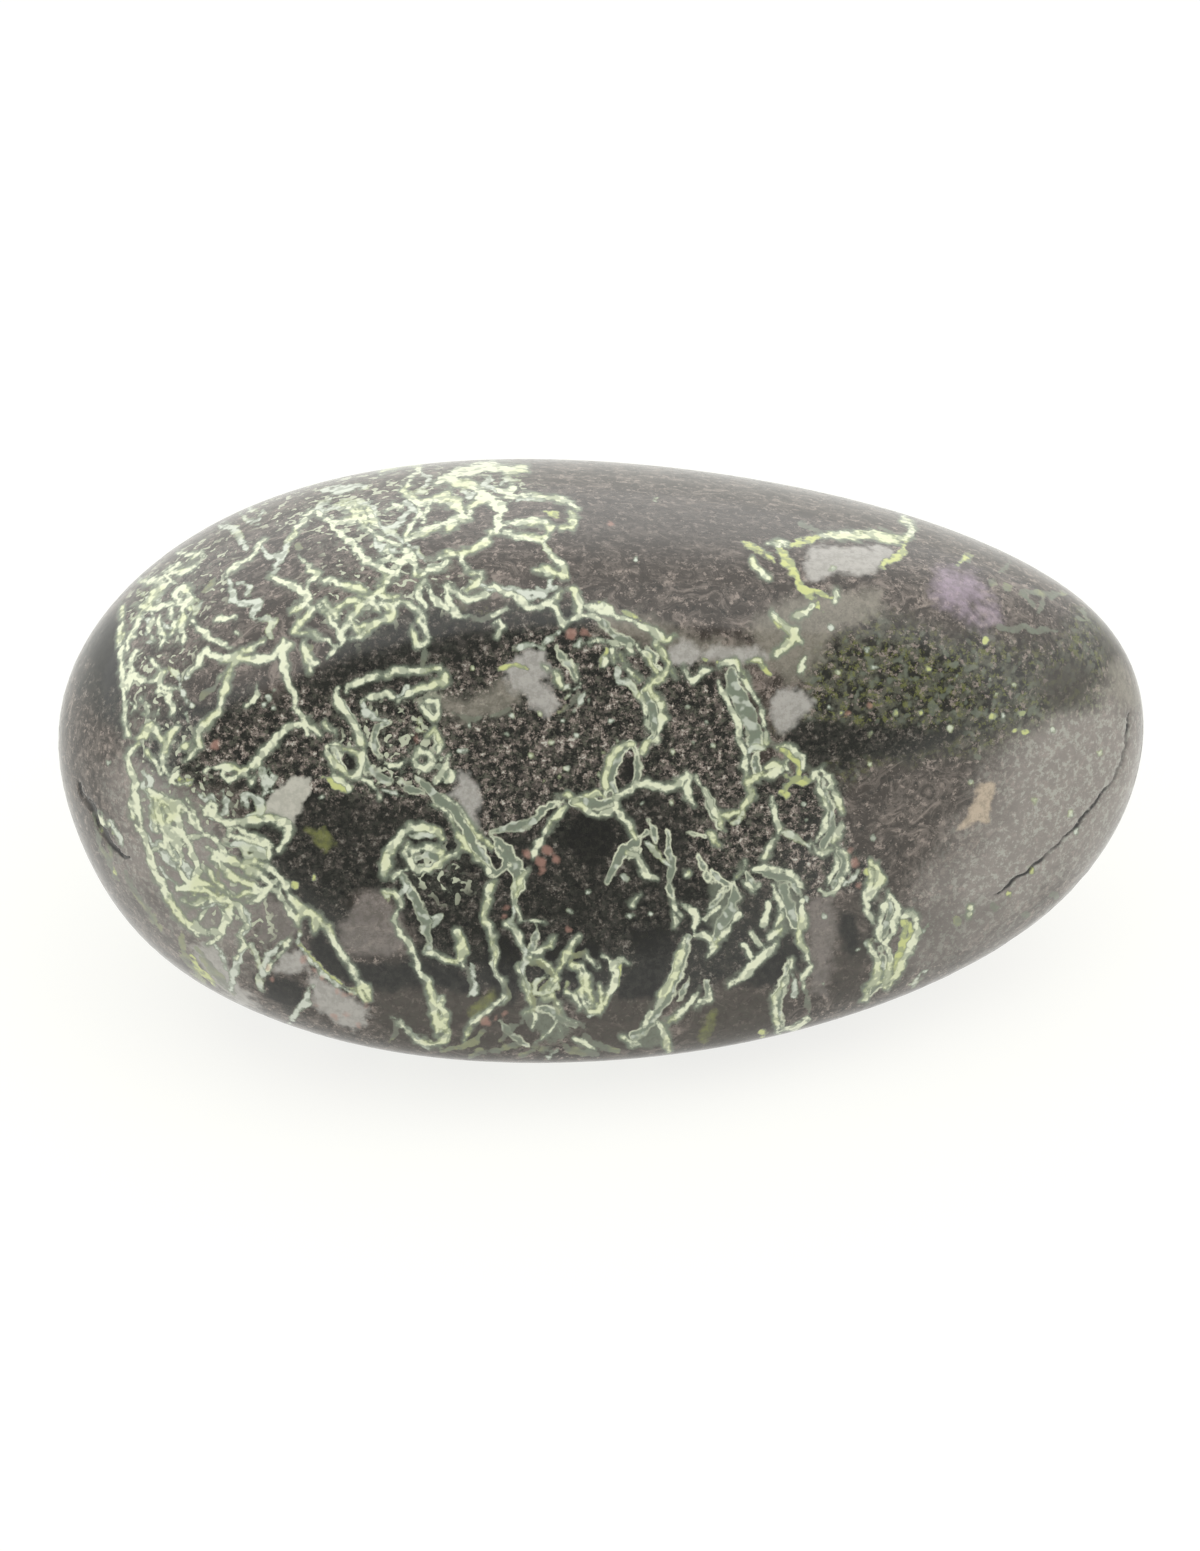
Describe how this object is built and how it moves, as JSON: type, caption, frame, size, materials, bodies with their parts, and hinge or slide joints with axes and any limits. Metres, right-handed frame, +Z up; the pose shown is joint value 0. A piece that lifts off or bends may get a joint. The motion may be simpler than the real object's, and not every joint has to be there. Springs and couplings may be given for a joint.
{
  "type": "tumbled stone",
  "caption": "Smooth egg-shaped polished stone, dark with a net of pale green veins, that rests on a small flat spot as a palm stone or display piece.",
  "frame": {"origin": "on the surface it rests on, below the middle of its bounding box", "axes": "+X along its length, from its blunt end to its narrower end; +Z up, out of the flat spot that it rests on; -Y towards its broad front face"},
  "size_m": [0.034, 0.0188, 0.0165],
  "materials": {
    "stone": "polished dark jasper with pale yellow-green and grey-green veins"
  },
  "bodies": {
    "root": {"stone": "stone"}
  },
  "joints": []
}
